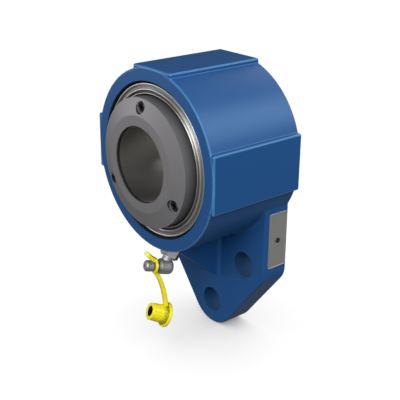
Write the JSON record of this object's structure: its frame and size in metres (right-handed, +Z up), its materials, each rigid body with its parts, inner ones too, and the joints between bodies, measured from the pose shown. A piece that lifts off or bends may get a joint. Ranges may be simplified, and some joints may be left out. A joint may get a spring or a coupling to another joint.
{
  "type": "flanged roller bearing unit",
  "caption": "Blue cast flange unit with a double row spherical roller bearing, split stepped sleeve, screw collar, grease elbow and a yellow dust cap.",
  "frame": {"origin": "on the shaft axis, in the mounting face behind the lug", "axes": "-Y out of the front, where the mounting collar is; +Y into the wall that it bolts to; +X right as seen from the front; +Z up, away from the lug"},
  "size_m": [0.1, 0.0695, 0.1622],
  "materials": {
    "blue_paint": "glossy blue enamel on cast iron",
    "steel_sheet": "dull rolled sheet",
    "dark_steel": "dark drive pin",
    "bearing_steel": "ground and polished",
    "cage_steel": "pressed sheet steel",
    "collar_steel": "phosphated grey steel",
    "black_oxide": "black oxide",
    "bright_steel": "bright pressed steel",
    "seal_rubber": "matt black nitrile rubber",
    "zinc_plate": "bright zinc plate",
    "yellow_plastic": "glossy yellow moulding"
  },
  "bodies": {
    "base": {"housing": "blue_paint", "nameplate": "steel_sheet", "nameplate_pin": "dark_steel", "outer_ring": "bearing_steel", "front_retaining_ring": "black_oxide", "rear_retaining_ring": "black_oxide", "front_seal_case": "bright_steel", "front_seal_lip": "seal_rubber", "front_seal_inner_ring": "bright_steel", "rear_seal_case": "bright_steel", "rear_seal_lip": "seal_rubber", "rear_seal_inner_ring": "bright_steel", "grease_elbow": "zinc_plate", "grease_nipple": "zinc_plate", "nipple_spring": "bearing_steel"},
    "aligner": {"guide_ring": "bearing_steel"},
    "rotor": {"inner_ring": "bearing_steel", "stepped_sleeve": "collar_steel", "mounting_collar": "collar_steel", "collar_screws": "black_oxide", "rear_collar": "collar_steel"},
    "front_row": {"cage_front": "cage_steel", "rollers_front": "bearing_steel"},
    "rear_row": {"cage_rear": "cage_steel", "rollers_rear": "bearing_steel"},
    "check_ball": {"nipple_ball": "bearing_steel"},
    "cap": {"dust_cap": "yellow_plastic"}
  },
  "joints": [
    {"name": "self_align", "type": "hinge", "parent": "base", "child": "aligner", "pos_m": [0, -0.0335, 0], "axis": [1, 0, 0], "range_deg": [-1, 1]},
    {"name": "shaft_spin", "type": "hinge", "parent": "aligner", "child": "rotor", "pos_m": [0, -0.0335, 0], "axis": [0, 1, 0], "continuous": true},
    {"name": "front_row_spin", "type": "hinge", "parent": "aligner", "child": "front_row", "pos_m": [0, -0.0335, 0], "axis": [0, 1, 0], "continuous": true},
    {"name": "rear_row_spin", "type": "hinge", "parent": "aligner", "child": "rear_row", "pos_m": [0, -0.0335, 0], "axis": [0, 1, 0], "continuous": true},
    {"name": "ball_slide", "type": "slide", "parent": "base", "child": "check_ball", "axis": [0.2862, 0.9361, -0.2045], "range_m": [0, 0.0006], "deforming": ["nipple_spring"]},
    {"name": "cap_swing", "type": "hinge", "parent": "base", "child": "cap", "pos_m": [-0.00135, -0.05915, -0.06265], "axis": [-0.2862, -0.9361, 0.2045], "range_deg": [-80, 80]}
  ],
  "couplings": [
    {"joint": "front_row_spin", "follows": "shaft_spin", "ratio": 0.4277},
    {"joint": "rear_row_spin", "follows": "shaft_spin", "ratio": 0.4277}
  ]
}
